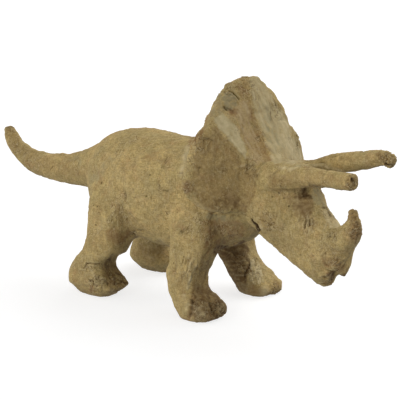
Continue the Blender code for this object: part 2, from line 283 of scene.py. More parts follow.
class Skin:
    """The skin's points in mm, their height above the form, and the layers of colour on them."""

    LAYERS = ("dark", "brown", "warm", "green", "pale", "strip", "wrinkle", "upright")

    def __init__(self, node):
        self.obj = bpy.data.objects.new("paper_skin", node.data.copy())
        bpy.context.scene.collection.objects.link(self.obj)
        remesh = self.obj.modifiers.new("skin", "REMESH")
        remesh.mode = "VOXEL"
        remesh.voxel_size = VOXEL_MM * MM
        graph = bpy.context.evaluated_depsgraph_get()
        mesh = bpy.data.meshes.new_from_object(self.obj.evaluated_get(graph))
        self.obj.modifiers.clear()
        self.obj.data = mesh
        mesh.name = "paper_skin"
        self.read_mesh()
        self.smooth(SMOOTH_ROUNDS)
        self.points[:, 2] = np.maximum(self.points[:, 2], 0)
        self.settle()

    def read_mesh(self):
        mesh = self.obj.data
        values = np.empty(len(mesh.vertices) * 3, np.float32)
        mesh.vertices.foreach_get("co", values)
        self.points = values.reshape(-1, 3).astype(float) / MM
        ends = np.empty(len(mesh.edges) * 2, np.int32)
        mesh.edges.foreach_get("vertices", ends)
        self.edges = ends.reshape(-1, 2)
        self.degree = np.bincount(self.edges.ravel(), minlength=len(self.points)).astype(float)

    def settle(self):
        """Takes the points as they are for the form that everything else is laid on."""
        self.rest = self.points.copy()
        self.normals = self.point_normals()
        self.height = np.zeros(len(self.rest))
        self.layers = {name: np.zeros(len(self.rest)) for name in self.LAYERS}

    def neighbour_mean(self, values):
        """The mean of a value or a place over each point's neighbours."""
        first, second = self.edges.T
        columns = []
        for column in values.reshape(len(values), -1).T:
            total = np.bincount(first, column[second], len(values))
            total += np.bincount(second, column[first], len(values))
            columns.append(total / self.degree)
        return np.stack(columns, 1).reshape(values.shape)

    def smooth(self, rounds):
        """Rounds off small facets without shrinking the form."""
        for _ in range(rounds):
            for push in SMOOTH_PUSHES:
                self.points += push * (self.neighbour_mean(self.points) - self.points)

    def spread(self, values, rounds):
        """Softens a value over the skin."""
        for _ in range(rounds):
            values = 0.5 * values + 0.5 * self.neighbour_mean(values)
        return values

    def write_points(self):
        self.obj.data.vertices.foreach_set("co", (self.points * MM).astype(np.float32).ravel())
        self.obj.data.update()

    def point_normals(self):
        self.write_points()
        values = np.empty(len(self.points) * 3, np.float32)
        self.obj.data.vertex_normals.foreach_get("vector", values)
        return values.reshape(-1, 3).astype(float)

    def search_tree(self):
        corners = [tuple(face.vertices) for face in self.obj.data.polygons]
        return BVHTree.FromPolygons(self.rest.tolist(), corners)

    def find_seen(self, tree):
        """Where each point is in the photograph, and whether it shows there."""
        self.pixels = photo_pixels(self.rest)
        eye = photo_axes()[3] / MM
        apart = self.rest - np.array(eye)
        far = np.linalg.norm(apart, axis=1)
        self.seen = (self.normals * apart).sum(1) < 0
        for index in np.flatnonzero(self.seen):
            hit = tree.ray_cast(eye, apart[index] / far[index])[3]
            self.seen[index] = hit is None or hit > far[index] - SIGHT_SLACK

    def refine(self, places, reach):
        """Halves the edges close to the given places, so that the skin can hold fine creases there."""
        finder = KDTree(len(places))
        for index, place in enumerate(places):
            finder.insert(place, index)
        finder.balance()
        close = np.array([finder.find(p)[2] < reach for p in self.rest.tolist()])
        mesh = self.obj.data
        work = bmesh.new()
        work.from_mesh(mesh)
        work.verts.ensure_lookup_table()
        edges = [e for e in work.edges if close[e.verts[0].index] and close[e.verts[1].index]]
        bmesh.ops.subdivide_edges(work, edges=edges, cuts=1, use_grid_fill=True)
        bmesh.ops.triangulate(work, faces=[f for f in work.faces if len(f.verts) > 4])
        work.to_mesh(mesh)
        work.free()
        self.read_mesh()
        self.settle()

    def paint(self, name, index, amount):
        """Raises a layer of colour to an amount, where it isn't higher already."""
        layer = self.layers[name]
        layer[index] = np.maximum(layer[index], amount)

    def finish(self):
        """Lifts the points by their height, keeps the soles flat and stores the layers on the mesh."""
        on_sole = self.rest[:, 2] < SOLE_HEIGHT
        self.points = self.rest + self.normals * self.height[:, None]
        self.points[:, 2] = np.where(on_sole, 0, np.maximum(self.points[:, 2], 0))
        self.write_points()
        for name, values in self.layers.items():
            store = self.obj.data.attributes.new(name, "FLOAT", "POINT")
            store.data.foreach_set("value", values.astype(np.float32))
        self.obj.data.shade_smooth()


class Line:
    """A line drawn on the photograph, as places on the skin, with the way the skin faces there."""

    def __init__(self, tree, pixels, twin=False):
        places, normals = [], []
        for (x0, y0), (x1, y1) in zip(pixels, pixels[1:] or pixels):
            steps = max(1, round(math.hypot(x1 - x0, y1 - y0) / LINE_STEP))
            for step in range(steps + 1):
                share = step / steps
                eye, ray = photo_ray(x0 + (x1 - x0) * share, y0 + (y1 - y0) * share)
                place, normal, _, _ = tree.ray_cast(eye / MM, ray)
                if place is None:
                    aside = places[-1] if places else TARGET / MM
                    aside = eye / MM + ray * (aside - eye / MM).dot(ray)
                    place, normal, _, _ = tree.find_nearest(aside)
                if twin:
                    place, normal, _, _ = tree.find_nearest(across_head(place))
                places.append(place)
                normals.append(normal)
        self.places = np.array(places)
        self.normals = np.array(normals)
        self.twin = twin

    def touch(self, skin, reach):
        """Points within reach that face the same way: which, how far off, and how far along."""
        low, high = self.places.min(0) - reach, self.places.max(0) + reach
        index = np.flatnonzero(((skin.rest > low) & (skin.rest < high)).all(1))
        apart = skin.rest[index, None] - self.places[None]
        distance = np.sqrt((apart ** 2).sum(2))
        nearest = distance.argmin(1)
        distance = distance[np.arange(len(index)), nearest]
        facing = (skin.normals[index] * self.normals[nearest]).sum(1)
        keep = (distance < reach) & (facing > SAME_WAY)
        if self.twin:
            keep &= left_of_head(skin.rest[index]) > TWIN_MARGIN
        along = nearest[keep] / max(len(self.places) - 1, 1)
        return index[keep], distance[keep], along


def left_of_head(places):
    """How far to the left of the head's middle."""
    return (places - np.array((*NECK_MM, 0))) @ np.array(HEAD_LEFT)


def across_head(place):
    """The matching place on the other side of the head."""
    to_left = TWIN_OUT - 2 * float(left_of_head(np.array(place)))
    return place + HEAD_LEFT * to_left - HEAD_AHEAD * TWIN_BACK


class Area:
    """A patch outlined on the photograph."""

    def __init__(self, pixels):
        self.corners = np.array(pixels, float)

    def touch(self, skin, margin):
        """Points that show within the margin of the patch, and how far inside it, in pixels."""
        low, high = self.corners.min(0) - margin, self.corners.max(0) + margin
        index = np.flatnonzero(((skin.pixels > low) & (skin.pixels < high)).all(1) & skin.seen)
        x, y = skin.pixels[index].T
        inside = np.zeros(len(index), bool)
        nearest = np.full(len(index), np.inf)
        for (x0, y0), (x1, y1) in zip(self.corners, np.roll(self.corners, -1, 0)):
            crosses = (y0 > y) != (y1 > y)
            edge_x = x0 + (y - y0) / (y1 - y0 if y1 != y0 else 1) * (x1 - x0)
            inside ^= crosses & (x < edge_x)
            share = ((x - x0) * (x1 - x0) + (y - y0) * (y1 - y0)) / ((x1 - x0) ** 2 + (y1 - y0) ** 2)
            share = np.clip(share, 0, 1)
            off = np.hypot(x - x0 - share * (x1 - x0), y - y0 - share * (y1 - y0))
            nearest = np.minimum(nearest, off)
        depth = np.where(inside, nearest, -nearest)
        keep = depth > -margin
        return index[keep], depth[keep]


def fill(skin, area, edge=1.5, streaks=None, lift=0.0, **amounts):
    """Colour over a patch with a ragged edge. Streaks: length and width in px, slope, strength."""
    index, depth = area.touch(skin, 2 * edge)
    cover = smoothstep(-0.6 * edge, 0.9 * edge, depth + edge * grain(skin.rest[index], 3.0, 3, 13.0))
    skin.height[index] += lift * cover
    if streaks:
        length, width, slope_deg, strength = streaks
        slope = math.radians(slope_deg)
        along = skin.pixels[index] @ (math.cos(slope), math.sin(slope)) / length
        across = skin.pixels[index] @ (-math.sin(slope), math.cos(slope)) / width
        uneven = grain(np.stack([along, across, 0 * along], 1), 1.0, 3, 17.0)
        cover = cover * np.clip(1 + 2 * strength * uneven, 0, 1.6)
    for name, amount in amounts.items():
        skin.paint(name, index, np.clip(amount * cover, 0, 1))


def crease(skin, line, width, depth, dark=0.5, lip=0.0, warm=0.0):
    """A sharp valley that fades at its ends, darkened with painted shade, with a raised lip on both sides if
    asked, painted paler as a highlight.
    """
    index, distance, along = line.touch(skin, 4 * width)
    distance = np.abs(distance + 0.35 * width * grain(skin.rest[index], 2.0, 2))
    width = 0.8 * width
    fade = smoothstep(0, 0.2, along) * smoothstep(0, 0.2, 1 - along) if len(line.places) > 4 else 1
    cut = np.exp(-((distance / width) ** 2)) * fade
    edge = np.exp(-(((distance - 2 * width) / width) ** 2)) * fade
    skin.height[index] += lip * edge - depth * cut
    patchy = np.clip(0.75 + 0.7 * grain(skin.rest[index], 1.8, 2, 9.0), 0, 1)
    skin.paint("dark", index, 0.85 * dark * cut * (patchy if dark < 0.85 else 1))
    skin.paint("warm", index, warm * np.exp(-((distance / (2.5 * width)) ** 2)))
    skin.paint("pale", index, min(1.0, 1.2 * lip) * edge)


def ridge(skin, line, width, height, pale=0.3):
    """A fold that stands out, paler on its crest as worn paper and as a painted highlight."""
    index, distance, along = line.touch(skin, 3 * width)
    fade = smoothstep(0, 0.15, along) * smoothstep(0, 0.15, 1 - along)
    rise = np.exp(-((distance / width) ** 2)) * fade
    uneven = 0.75 + 0.5 * grain(skin.rest[index], 3.0, 2)
    skin.height[index] += height * rise * uneven
    skin.paint("pale", index, pale * np.clip(rise * uneven, 0, 1))


def dab(skin, line, radius, edge=0.6, **amounts):
    """Colour along a broad, ragged stroke."""
    index, distance, _ = line.touch(skin, 1.8 * radius)
    points = skin.rest[index]
    ragged = distance + edge * radius * grain(points, 0.7 * radius + 0.8, 3, 11.0)
    soft = 1 - smoothstep(0.3 * radius, 1.3 * radius, ragged)
    soft = soft * np.clip(0.85 + 0.5 * grain(points, 2.0, 2, 15.0), 0, 1.1)
    for name, amount in amounts.items():
        skin.paint(name, index, amount * soft)


def crumple(skin, line, radius, size, amount, dark, pale=0.3, warm=0.0, squash=(1, 1, 1)):
    """Creased and bunched paper around the start of a line, with painted shade in its valleys and painted
    highlights on its crests.
    """
    apart = np.linalg.norm(skin.rest - line.places[0], axis=1)
    index = np.flatnonzero(apart < radius)
    points = skin.rest[index]
    fade = 1 - smoothstep(0.45 * radius, radius, apart[index] + 0.1 * radius * grain(points, 3.0, 2))
    crest = folds(points, size, 3, 5.0, squash)
    skin.height[index] += amount * fade * (crest - 0.45)
    skin.paint("dark", index, dark * fade * np.clip(1 - 2.2 * crest, 0, 1))
    skin.paint("pale", index, pale * fade * np.clip(2.5 * crest - 1.6, 0, 1))
    skin.paint("warm", index, warm * fade)
    skin.paint("wrinkle" if squash == (1, 1, 1) else "upright", index, fade)


def sink(skin, line, radius, depth):
    """A soft hollow."""
    index, distance, _ = line.touch(skin, radius)
    skin.height[index] -= depth * (1 - smoothstep(0, radius, distance))


class Mark:
    """A feature: its name, the sizes and options of the function that makes it, and its pixels."""

    def __init__(self, name, *sizes, at, twin=False, **options):
        self.name, self.sizes, self.pixels, self.twin, self.options = name, sizes, at, twin, options


# What shows on the skin, by pixel of the photograph. Sizes are in mm, and colours go from 0 to 1.
# A feature marked twin is also on the other side of the head.

# Creases: width, depth and darkness, which is painted shade along the valley. A lip is the height of the
# paper raised on both sides, painted paler as a highlight.
CREASES = (
    Mark("crack over the frill's patch", 0.55, 0.8, 1.0, lip=0.3,
        at=[(226.7, 90.1), (232.4, 93), (236.2, 97.3), (239.6, 101.4)]),
    Mark("patch's upper left edge", 0.5, 0.35, 0.5, lip=0.1, at=[(221.5, 96.5), (226.5, 91)]),
    Mark("crack under the patch", 0.55, 0.6, 0.9, lip=0.15,
        at=[(223.3, 105.4), (225.7, 109.2), (227.6, 111.6)]),
    Mark("arc on the frill's lower face", 0.6, 0.3, 0.3, lip=0.1, at=[(206, 141), (211.5, 137), (217, 136)]),
    Mark("notch at the frill's root", 0.5, 0.5, 0.9, at=[(257.2, 174), (256, 177)]),
    Mark("line down the frill's root", 0.7, 0.5, 0.4, at=[(257, 178), (255, 190), (252, 202), (250, 212)]),
    Mark("frill's lower fold", 0.8, 0.4, 0.45,
        at=[(204, 212.5), (216, 214), (230, 213.5), (238, 216), (247, 219)]),
    Mark("painted shade in the crack behind the cheek", 0.75, 1.3, 1.0, lip=0.45,
        at=[(250.7, 218), (255.3, 223.7), (260.4, 230.3)]),
    Mark("cheek fold", 0.6, 0.35, 0.5, lip=0.1, twin=True, at=[(274, 211.5), (275.3, 220)]),
    Mark("short cheek fold", 0.6, 0.3, 0.4, lip=0.1, at=[(279, 212), (277, 218)]),
    Mark("crease under the eye", 0.65, 0.6, 0.95, lip=0.35, twin=True,
        at=[(307.5, 217.5), (306, 223), (305, 230)]),
    Mark("second crease under the eye", 0.6, 0.5, 0.86, lip=0.35, twin=True, at=[(310, 218), (310.3, 227)]),
    Mark("crease before the eye", 0.6, 0.35, 0.5, lip=0.15, twin=True, at=[(303, 218), (298, 221.5)]),
    Mark("crease on the bridge", 0.6, 0.5, 0.9, lip=0.25, at=[(320, 208.5), (324, 209), (328, 211.5)]),
    Mark("crease down the bridge", 0.6, 0.4, 0.8, lip=0.25, at=[(324.5, 208), (327, 212.5), (330, 218)]),
    Mark("small bridge nick", 0.5, 0.35, 0.6, at=[(326.3, 222), (327.6, 226)]),
    Mark("mouth", 0.8, 0.9, 0.9, twin=True, at=[(336.5, 274), (333.5, 271.5), (329.5, 271), (325.5, 269.5)]),
    Mark("fold over the mouth", 0.7, 0.5, 0.7, lip=0.2, at=[(325, 261), (326.3, 264.8), (330, 266.5)]),
    Mark("nick by the nostril", 0.7, 0.5, 0.6, twin=True, at=[(337, 257.5), (338, 261.5)]),
    Mark("upper crease over the nose", 0.6, 0.4, 0.5, lip=0.2, at=[(337, 229), (336, 236), (338, 243)]),
    Mark("far horn's root", 0.8, 0.6, 0.6, at=[(318, 163), (324, 162), (328, 158.5)]),
    Mark("near leg crease 1", 0.55, 0.4, 0.5, lip=0.2, at=[(184, 258), (182.5, 263), (181, 268)]),
    Mark("near leg crease 2", 0.55, 0.45, 0.5, lip=0.2, at=[(187.2, 256), (186, 263), (184.6, 270)]),
    Mark("near leg crease 3", 0.55, 0.35, 0.4, lip=0.2, at=[(190.2, 259), (189, 266), (187, 273)]),
    Mark("near leg crease 4", 0.5, 0.3, 0.3, lip=0.2, at=[(191.5, 252), (191.3, 261)]),
    Mark("near leg's front edge", 0.8, 0.6, 0.35, at=[(195, 268), (191.5, 278), (188.5, 288)]),
    Mark("curve on the near leg's inside", 0.6, 0.5, 0.8, at=[(206, 269.5), (204.6, 275), (205.5, 281)]),
    Mark("near foot's fold", 1.3, 1.4, 0.8, warm=0.6,
        at=[(193.5, 297), (193, 303), (191.5, 309), (189, 320)]),
    Mark("near foot's toe fold", 1.2, 1.2, 0.8, at=[(208, 297), (209.5, 304), (211, 311), (212, 318)]),
    Mark("near foot's second toe fold", 0.8, 0.7, 0.8, at=[(216.5, 304), (214.5, 310), (212, 317)]),
    Mark("toe crackle 1", 0.5, 0.4, 0.7, lip=0.3, at=[(217, 307), (219.5, 309.5), (218, 313)]),
    Mark("toe crackle 2", 0.5, 0.4, 0.7, lip=0.3, at=[(221, 305.5), (222.5, 309), (221, 313)]),
    Mark("chest crease", 0.6, 0.35, 0.45, at=[(206.5, 240.5), (212, 245)]),
    Mark("line between chest and leg", 0.8, 0.4, 0.15, warm=0.4,
        at=[(212, 222), (211, 232), (213, 243), (207, 258)]),
    Mark("fold over the far leg", 0.9, 0.7, 0.6, lip=0.3,
        at=[(221, 249.5), (228, 245), (236, 243), (246, 239.5)]),
    Mark("far leg wrinkle 1", 0.5, 0.4, 0.55, lip=0.08,
        at=[(227, 252), (235, 252.5), (243, 256.5), (247, 264), (247, 271)]),
    Mark("far leg wrinkle 2", 0.5, 0.4, 0.55, lip=0.08,
        at=[(227.5, 256.5), (235, 257), (241, 261), (244.5, 268), (244, 275)]),
    Mark("far leg wrinkle 3", 0.5, 0.4, 0.55, lip=0.08,
        at=[(229, 261), (235, 261.5), (239.5, 266), (241.5, 272), (241, 278)]),
    Mark("far leg wrinkle 4", 0.6, 0.35, 0.5, lip=0.2,
        at=[(231, 266), (235.5, 267), (238, 271.5), (238.5, 277)]),
    Mark("far leg's inner fold", 0.9, 0.9, 1.0, at=[(248.5, 262), (248.5, 269), (245, 273), (245.5, 280)]),
    Mark("far leg line 1", 0.5, 0.4, 0.6, lip=0.2, at=[(252, 256), (253.7, 262), (253.5, 268)]),
    Mark("far leg line 2", 0.5, 0.35, 0.5, lip=0.2, at=[(254.5, 257), (257, 265)]),
    Mark("far toe crackle 1", 0.6, 0.5, 0.7, lip=0.25, at=[(274, 287), (276, 289.5), (274.5, 292.5)]),
    Mark("far toe crackle 2", 0.5, 0.4, 0.6, lip=0.25, at=[(278.5, 286), (279.3, 291)]),
    Mark("hind ankle crease", 0.6, 0.7, 0.86, lip=0.3,
        at=[(82.4, 271), (86.2, 266.5), (86.9, 263.6), (90.7, 263), (97, 263.2), (104, 263.6)]),
    Mark("hind ankle nick", 0.5, 0.35, 0.6, at=[(92, 263.6), (92.4, 267.5)]),
    Mark("hind toe fold 1", 0.7, 0.8, 0.9, lip=0.3,
        at=[(87.5, 278), (91, 280.5), (94, 281), (94.5, 284.5), (92.5, 287)]),
    Mark("hind toe fold 2", 0.6, 0.6, 0.8, lip=0.3, at=[(93, 281), (97, 279.5), (101, 281)]),
    Mark("hind toe fold 3", 0.7, 0.6, 0.7, warm=0.9, at=[(92.5, 287), (90.5, 291)]),
    Mark("hind toe fold 4", 0.6, 0.5, 0.6, lip=0.3, at=[(94.5, 284), (99, 286), (104, 285)]),
    Mark("hind hock", 0.9, 0.6, 0.4, at=[(108, 266), (112, 263.5), (116, 262)]),
    Mark("hind foot's front fold", 0.8, 0.5, 0.3, warm=0.3, at=[(108, 270), (107, 278), (109, 287)]),
    Mark("thigh and belly fold", 1.0, 0.8, 0.8,
        at=[(131.5, 237), (134, 232.5), (136.6, 229.6), (141, 230.5), (146, 232)]),
    Mark("nick over the thigh", 0.6, 0.5, 0.95, at=[(101, 181.5), (101.2, 184.8)]),
    Mark("line down the flank", 0.6, 0.22, 0.3, at=[(134.6, 171), (135.3, 186), (134.4, 201)]),
    Mark("line over the thigh", 0.7, 0.25, 0.3, at=[(127, 200), (131, 208), (134, 217)]),
    Mark("tail nick", 0.6, 0.4, 0.85, at=[(50, 170), (53.2, 166)]),
    Mark("tail seam", 0.5, 0.2, 0.25, at=[(58, 168), (69, 167.5), (79, 167.5)]),
    Mark("tail's far nick", 0.5, 0.25, 0.5, at=[(27, 160.5), (30.5, 161.8)]),
)

# Ridges: width, height and paleness, which is worn paper and painted highlight on the crest.
RIDGES = (
    Mark("strip along the frill's rim", 2.3, 0.6, 0.75,
        at=[(190.5, 141), (186.5, 155), (183, 170), (182, 182)]),
    Mark("edge between the frill's faces", 1.4, 0.5, 0.25,
        at=[(214, 127), (229, 141), (240, 152), (243, 163), (254, 174)]),
    Mark("fold in the frill's middle", 2.6, 0.45, 0.0,
        at=[(246, 89), (251, 105), (254, 124), (259, 137), (263, 152)]),
    Mark("frill's lower edge", 1.4, 0.4, 0.3, at=[(204, 211), (216, 212), (230, 211.5), (243, 213)]),
    Mark("fold from the near horn to the frill", 1.2, 0.5, 0.8,
        at=[(272, 166), (282, 168), (290, 169.5), (300, 166.5), (310, 164.3), (320, 164.8), (332, 169),
            (344, 171.5), (350, 172.5)]),
    Mark("brow", 1.5, 0.4, 0.2, twin=True, at=[(294, 193), (300, 188.5), (308, 186.5)]),
    Mark("near leg's ridge", 0.9, 0.6, 1.0, at=[(198, 261), (193.5, 270), (190, 280), (186.5, 292)]),
    Mark("near leg's second ridge", 0.7, 0.4, 0.7, at=[(192.5, 257), (189.5, 267), (187, 278)]),
    Mark("near foot's outer edge", 1.4, 0.5, 0.5, at=[(184, 292), (186.5, 302), (187, 313)]),
    Mark("pale crumple above the far foot 1", 0.7, 0.4, 0.8, at=[(249, 276), (251, 279), (251.5, 283)]),
    Mark("pale crumple above the far foot 2", 0.7, 0.4, 0.7, at=[(258.5, 270), (260, 276), (259.5, 281)]),
    Mark("pale crumple above the far foot 3", 0.6, 0.3, 0.6, at=[(254, 271), (255.5, 278)]),
    Mark("pale line under the eye", 0.7, 0.35, 1.0, at=[(308.6, 221), (308, 229)]),
    Mark("lip of the cheek crack", 0.8, 0.4, 0.7, at=[(258.5, 226), (262.5, 228.5)]),
    Mark("pale line down the snout", 0.6, 0.25, 0.4, at=[(297, 222), (293, 231)]),
)

# Strokes of colour: radius.
DABS = (
    # Green paper darkened with painted shade under the frill's edge.
    Mark("green paper and painted shade under the frill's edge", 2.4, green=0.8, dark=0.25,
        at=[(208, 217), (216, 217.5), (224, 218)]),
    Mark("brown under the patch", 2.4, warm=0.8, dark=0.3, at=[(229, 112.5), (236, 112.5)]),
    Mark("brown top of the frill", 2.6, brown=0.34, warm=0.3, at=[(222, 87), (233, 84), (243, 90)]),
    Mark("near rim", 2.6, brown=0.55, green=0.3, at=[(212, 98), (206, 112), (200, 126), (193, 138)]),
    Mark("crumpled rim's brown", 2.2, warm=0.7, dark=0.35, at=[(186, 184), (189, 191)]),
    Mark("dark spot on the far half 1", 1.5, dark=0.35, green=0.7, at=[(267, 108), (269, 114)]),
    Mark("dark spot on the far half 2", 1.5, dark=0.35, green=0.7, at=[(271, 150), (274, 153)]),
    Mark("dark spot on the far half 3", 1.3, dark=0.3, green=0.6, at=[(282.5, 144), (284, 147)]),
    Mark("shade in the frill's root", 2.5, brown=0.5, dark=0.15, at=[(246, 163), (252, 171), (257, 176)]),
    # Painted shade in the hollow round the eye.
    Mark("painted shade in the eye hollow", 3.2, dark=0.62, brown=0.8, green=0.4, twin=True,
        at=[(302.5, 191.5), (306, 192), (308, 195)]),
    Mark("eye", 0.8, edge=0.3, dark=0.95, twin=True,
        at=[(302.5, 189.5), (302, 193), (303.6, 196), (306.5, 197), (309, 195)]),
    Mark("upper lid", 0.8, edge=0.3, dark=0.8, twin=True, at=[(302.5, 189.5), (306, 188.6), (309.5, 190.5)]),
    Mark("brown beak", 3.6, brown=0.38, warm=0.6, twin=True, at=[(328, 262), (335, 262), (340, 268)]),
    Mark("dark beak tip", 1.8, brown=0.9, dark=0.2, at=[(340, 275), (344, 271)]),
    Mark("dark jaw tip", 1.8, warm=0.8, dark=0.25, brown=0.5, twin=True,
        at=[(330, 273.5), (333, 277), (331, 282)]),
    Mark("jaw's underside", 1.8, brown=0.7, dark=0.2, at=[(322, 284), (327, 284.5)]),
    Mark("nose horn", 2.6, brown=0.28, warm=0.45, at=[(353, 213), (356, 226), (355, 240)]),
    Mark("nose horn's front", 1.4, dark=0.1, brown=0.7, at=[(357, 218), (358.5, 230), (355.5, 243)]),
    Mark("near horn's end", 2.6, brown=0.5, warm=0.4, at=[(347, 187), (353, 186), (355, 180)]),
    Mark("near horn's dark nick", 0.9, dark=0.9, at=[(352, 179), (354, 182)]),
    Mark("far horn's end", 2.6, brown=0.6, warm=0.2, at=[(378, 155), (386, 158), (392, 160)]),
    Mark("far horn's dark nick", 1.1, dark=0.9, at=[(385, 164), (389, 164.5), (393, 165)]),
    Mark("far horn's brown side", 1.9, brown=0.5, at=[(340, 159), (352, 159)]),
    # Painted shadow under the near horn.
    Mark("painted shadow under the near horn", 1.6, brown=0.7, dark=0.15, at=[(302, 187.5), (312, 187.5), (322, 187)]),
    Mark("tail's brown side", 6.0, brown=0.38, warm=0.2,
        at=[(14, 141), (28, 156), (48, 166), (70, 170), (84, 173)]),
    Mark("brown outer side of the near leg", 7.0, brown=0.26, warm=0.2,
        at=[(176, 262), (178, 282), (182, 302)]),
    Mark("brown outer side of the hind leg", 7.0, brown=0.24, warm=0.15,
        at=[(84, 240), (80, 262), (82, 280)]),
    Mark("brown skull", 6.0, brown=0.44, warm=0.35, at=[(272, 180), (290, 178)]),
    Mark("brown near horn", 5.0, brown=0.3, warm=0.25, at=[(306, 178), (340, 182)]),
    # Painted highlights on the raised toes.
    Mark("pale toe", 2.6, pale=0.45, at=[(199, 309), (202, 314)]),
    Mark("pale big toe", 1.8, pale=0.5, at=[(218, 308), (222, 306)]),
    Mark("pale toe of the hind foot", 2.2, pale=0.5, at=[(98, 282), (102, 280)]),
    Mark("far foot's brown side", 3.2, brown=0.5, warm=0.3, at=[(246, 288), (256, 291), (264, 292)]),
    Mark("far hind leg", 5.0, brown=0.55, green=0.2, at=[(142, 246), (152, 256), (158, 250)]),
    Mark("brown between thigh and belly", 4.5, brown=0.45, warm=0.6, at=[(113, 236), (120, 240), (126, 234)]),
    Mark("brown in front of the thigh", 4.5, brown=0.35, warm=0.2, at=[(118, 212), (124, 220), (118, 229)]),
    Mark("reddish back", 2.6, warm=0.4, at=[(94, 147), (104, 136), (112, 134)]),
    Mark("reddish spot on the rump", 2.2, warm=0.5, at=[(98, 172), (102, 179), (96, 187)]),
    Mark("reddish spot over the shoulder", 2.4, warm=0.4, brown=0.2, at=[(146, 157), (158, 158), (170, 162)]),
    Mark("olive rump", 3.4, green=0.5, brown=0.15, at=[(91, 178), (98, 176), (110, 162)]),
    Mark("tail's red mark", 1.6, warm=0.6, at=[(26, 163), (31, 164)]),
    Mark("tail's olive band", 2.2, green=0.5, at=[(72, 158), (77, 157), (79, 165)]),
    Mark("pinkish tail", 2.6, warm=0.3, at=[(42, 158), (60, 155), (72, 162)]),
    Mark("tail's tip", 1.3, dark=0.4, brown=0.5, at=[(7.5, 127), (12.5, 127)]),
    Mark("reddish shoulder spots", 1.8, warm=0.5, at=[(180, 225), (184, 229)]),
    Mark("warm cheek", 7.0, warm=0.26, at=[(268, 224), (280, 236), (294, 246)]),
    Mark("reddish heel", 2.2, warm=0.4, at=[(74, 272), (76, 282)]),
)

